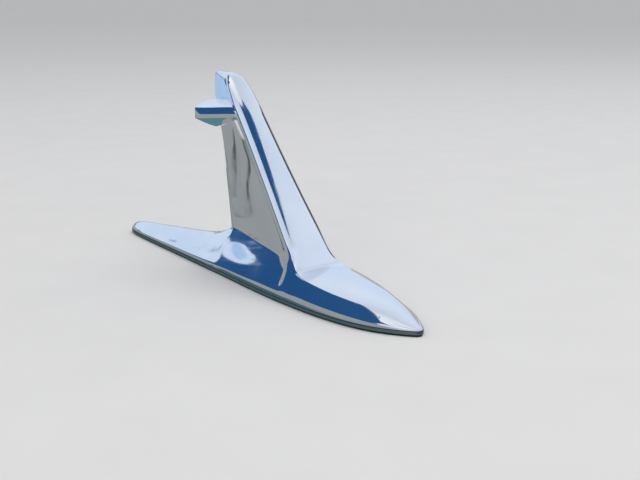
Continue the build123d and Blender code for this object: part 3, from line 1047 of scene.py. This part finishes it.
world = bpy.data.worlds.new("pale_studio")
world.use_nodes = True
bpy.context.scene.world = world
tree = world.node_tree
tree.nodes.clear()
add = node_adder(tree)
toward = add("TexCoord").outputs["Generated"]
up = add("SeparateXYZ", Vector=toward).outputs["Z"]
shades = add("ValToRGB", Fac=up)
for position, shade in ((0.0, (0.86, 0.84, 0.8)), (0.1, (0.84, 0.87, 0.9)),
                        (0.34, (0.62, 0.75, 0.93)), (0.55, (0.72, 0.81, 0.95)),
                        (0.72, (0.68, 0.77, 0.9)), (0.87, (0.6, 0.67, 0.79))):
    shades.color_ramp.elements.new(position).color = (*shade, 1)
lit = add("Background", {"Color": (*SKY_LIGHT, 1), "Strength": SKY_POWER})
seen = add("Background", {"Strength": 1.0}, Color=shades.outputs["Color"])
ray = add("LightPath").outputs
looking = maths(add, "MAXIMUM", ray["Is Camera Ray"], ray["Is Glossy Ray"])
looking = maths(add, "MAXIMUM", looking, ray["Is Transmission Ray"])
both = add("MixShader", Fac=looking)
feed(both.inputs[1], lit.outputs[0])
feed(both.inputs[2], seen.outputs[0])
add("OutputWorld", Surface=both.outputs[0])
print("floor", 2 * FLOOR_RADIUS, "m across, sky of", len(tree.nodes), "nodes")

# %% [markdown]
# ## The lamps
# Two wide lamps give the shadows a direction. They are hidden from reflections, where they would
# stand as white squares in the chrome.

# %% Lamps


def soft_lamp(name, place, aim, size, power):
    """A square area lamp that points at the part and isn't seen in reflections."""
    light = bpy.data.lights.new(name, "AREA")
    light.shape, light.size, light.energy = "SQUARE", size, power
    lamp = bpy.data.objects.new(name, light)
    bpy.context.collection.objects.link(lamp)
    lamp.location = place
    lamp.rotation_euler = (Vector(aim) - Vector(place)).to_track_quat("-Z", "Y").to_euler()
    lamp.visible_glossy = False
    lamp.visible_camera = False
    print(name, "of", power, "W")


soft_lamp("lamp_above", (0.5, -0.5, 1.9), (0, 0, 0), 1.6, 12)
soft_lamp("lamp_side", (-1.4, -0.9, 1.1), (0, 0, 0.03), 1.2, 5)

# %% [markdown]
# ## The cards
# A photographer of polished metal shapes its reflections with cards, and so does this scene. They
# are seen in reflections only, and each one draws something on the chrome: navy ones to the side,
# in front and overhead give the long dark areas, and a pale one behind the first keeps the wall
# of the studio out of the tail. Grey ones stand low down and lie on the floor, a dark one stands
# on the far side, a slate band round the base darkens the foot of the casting, and small ones
# tint the tip of the fin, the underside of the wing, the prow and the nose. Two narrow ones,
# each a path of places on the floor, make the two dark lines that curve across the fin's web.

# %% Cards for the reflections
ABOVE_ALL = 90 * LIFT     # higher than any point of a card that still waits
CARD_HEIGHT, LINE_HEIGHT, PROW_HEIGHT = 0.0004, 0.0008, 0.0009   # metres above the floor
FLAG_HEIGHT, CEILING_HEIGHT = 0.04, 3.0
BAND_OUT, BAND_LOW, BAND_HIGH = 9.0, 0.1, 0.6   # the slate band, in millimetres


def flat_colour(piece, colour):
    """Give a staged card one even colour that is seen only in reflections."""
    glow = bpy.data.materials.new(piece.name + "_colour")
    glow.use_nodes = True
    nodes = glow.node_tree.nodes
    nodes.clear()
    emission = nodes.new("ShaderNodeEmission")
    emission.inputs["Color"].default_value = (*colour, 1)
    surface = nodes.new("ShaderNodeOutputMaterial")
    glow.node_tree.links.new(emission.outputs[0], surface.inputs["Surface"])
    piece.data.materials.append(glow)
    piece.visible_camera = False
    piece.visible_diffuse = False
    piece.visible_shadow = False


def curved_card(name, radius, stops, colour):
    """A band about the part. Each stop is an azimuth and the angles above the floor of the
    lower and the upper edge there, and both edges run evenly from stop to stop."""
    deselect()
    bpy.ops.mesh.primitive_cylinder_add(vertices=180, radius=radius, depth=2,
                                        end_fill_type="NOTHING", location=(0, 0, 0))
    piece = begin(name)

    def azimuth(place):
        return math.degrees(math.atan2(place.y, place.x)) % 360

    def angle(place):
        """The angle of the lower edge, or of the upper for a point above the middle."""
        edge = 2 if place.z > 0 else 1
        here = min(max(azimuth(place), stops[0][0]), stops[-1][0])
        for one, other in zip(stops, stops[1:]):
            if here <= other[0]:
                share = (here - one[0]) / (other[0] - one[0])
                return one[edge] + (other[edge] - one[edge]) * share

    pick("faces", lambda face: not stops[0][0] <= azimuth(face.calc_center_median()) <= stops[-1][0])
    bpy.ops.mesh.delete(type="FACE")
    places = [v.co.copy() for v in bmesh.from_edit_mesh(piece.data).verts]
    pull([(old, Vector((old.x, old.y, radius * math.tan(math.radians(angle(old))))) + ABOVE_ALL)
          for old in places])
    move_all(-ABOVE_ALL)
    stop_editing()
    flat_colour(piece, colour)


def flat_card(name, corners, colour, height):
    """A level card with these corners."""
    piece = ring(name, [Vector((x, y, height)) for x, y in corners], fill="NGON")
    stop_editing()
    flat_colour(piece, colour)


def table_card(name, low, high, colour, height=CARD_HEIGHT):
    """A level card with four corners, from one place to the other."""
    flat_card(name, (low, (low[0], high[1]), high, (high[0], low[1])), colour, height)


def line_card(name, path, colour):
    """A narrow card on the floor along a path: places in millimetres, each with a half-width."""
    steps = len(path) - 1
    deselect()
    bpy.ops.mesh.primitive_grid_add(x_subdivisions=1, y_subdivisions=steps, size=1,
                                    location=(0, 0, 0))
    piece = begin(name)
    pairs = []
    for j, (x, y, half) in enumerate(path):
        before, after = path[max(j - 1, 0)], path[min(j + 1, steps)]
        along = Vector((after[0] - before[0], after[1] - before[1], 0)).normalized()
        for i, side in ((0, 1), (1, -1)):
            place = Vector((x, y, 0)) + Vector((-along.y, along.x, 0)) * half * side
            pairs.append((Vector((i - 0.5, j / steps - 0.5, 0)),
                          place * MM + Vector((0, 0, LINE_HEIGHT)) + LIFT))
    pull(pairs)
    move_all(-LIFT)
    stop_editing()
    flat_colour(piece, colour)


NAVY, GREY, DARK = (0.018, 0.084, 0.23), (0.32, 0.34, 0.34), (0.09, 0.1, 0.11)
PALE_BLUE, TEAL, SLATE = (0.41, 0.59, 0.84), (0.1, 0.22, 0.25), (0.05, 0.12, 0.15)
BACK_BLUE, FLAG_BLUE, PROW_BLACK = (0.63, 0.76, 0.93), (0.71, 0.8, 0.93), (0.02, 0.03, 0.05)
curved_card("card_side", 7.0, (
    (105.3, 3.5, 15.8), (109.2, 3.5, 15.8), (110.4, 3.5, 18.2), (112, 3.5, 20.5),
    (114.5, 3.5, 23.5), (118, 3.5, 27), (121, 3.5, 28), (128, 3.5, 45), (140, 3.5, 60),
    (150, 3.5, 63), (170, 3.5, 42), (189, 3.5, 32)), NAVY)
curved_card("card_back", 7.1, ((90, 9.4, 19), (112, 9.4, 19)), BACK_BLUE)
curved_card("card_front", 7.2, (
    (238, 58.5, 66), (242, 57.5, 66), (250, 57, 66), (258, 56.4, 66), (265, 55.4, 66),
    (272, 55, 66), (280, 54.9, 66), (290, 54.3, 65), (300, 53.1, 64), (309, 51.5, 63),
    (316, 50, 62), (319, 50.5, 61), (324, 54, 60)), NAVY)
curved_card("card_low", 7.4, (
    (60, 0, 9), (112, 0, 9.5), (118, 0, 9.5), (121, 0, 4), (215, 0, 4)), GREY)
curved_card("card_far", 7.0, ((0, 17, 32), (10, 11, 25), (20, 6, 18), (28, 1, 11)), DARK)
curved_card("card_tip", 0.17, ((91, 22, 34), (112, 22, 34)), PALE_BLUE)
table_card("card_table", (-7.0, -0.4), (0, 7.0), GREY)
table_card("card_under", (0.0, 0.06), (0.2, 0.3), TEAL)
table_card("card_prow", (-0.0085, -0.135), (0.012, -0.1192), PROW_BLACK, PROW_HEIGHT)
table_card("card_flag", (-0.018, -0.062), (0.003, -0.0525), FLAG_BLUE, FLAG_HEIGHT)
flat_card("card_ceiling", (
    (-3.3, -0.1), (-0.45, -0.1), (-0.4, 0.4), (0, 0.55), (0.45, 0.68), (0.75, 0.95),
    (1.25, 1.35), (1.1, 1.45), (0.3, 1.42), (-0.25, 1.42), (-0.25, 3.3), (-3.3, 3.3)),
    NAVY, CEILING_HEIGHT)
flat_colour(outline_prism("card_near", -BAND_OUT, BAND_LOW, BAND_HIGH), SLATE)
NEARER_LINE = (
    (-4, 306, 8), (-13, 287, 7.5), (-16.5, 266, 6.5), (-22, 247, 7.5), (-38.5, 230.5, 9.5),
    (-51.5, 224.5, 7.5), (-60.5, 215.5, 4), (-61, 195.5, 2), (-58, 175.5, 1.2),
    (-54.5, 158, 0.8), (-51, 144.5, 0.6), (-49.5, 135, 0.4))
FARTHER_LINE = (
    (-58.5, 368.5, 5.5), (-73, 358.5, 6.5), (-86, 347.5, 9.5), (-96, 337, 15),
    (-103, 320.5, 13), (-104.5, 297.5, 6.5), (-96.5, 272.5, 2.5), (-94, 251, 1.4),
    (-88, 227.5, 0.9), (-72.5, 189, 0.5))
line_card("line_0", NEARER_LINE, DARK)
line_card("line_1", FARTHER_LINE, DARK)
cards = [piece.name for piece in bpy.data.objects if piece.name.startswith(("card", "line"))]
print(len(cards), "cards")

# %% [markdown]
# ## The camera
# It looks from the front, from one side and a little above, where the ornament shows its front
# and its near side. The place and the long lens are those of the photograph, found by laying the
# outline of the solids over it.

# %% Camera at the photograph's angle
AZIMUTH, ELEVATION = math.radians(-39.05), math.radians(13.85)
CAMERA_PLACE, LENS, SENSOR = (-0.2748, -0.3888, 0.1367), 54.0, 36.0
camera = bpy.data.objects.new("camera", bpy.data.cameras.new("camera"))
bpy.context.collection.objects.link(camera)
camera.location = CAMERA_PLACE
camera.rotation_euler = (math.pi / 2 - ELEVATION, 0, AZIMUTH)
camera.data.lens, camera.data.sensor_width = LENS, SENSOR
bpy.context.scene.camera = camera
bpy.context.scene.view_settings.view_transform = "Standard"
print("camera", round(Vector(CAMERA_PLACE).length, 3), "m from the seat's middle")
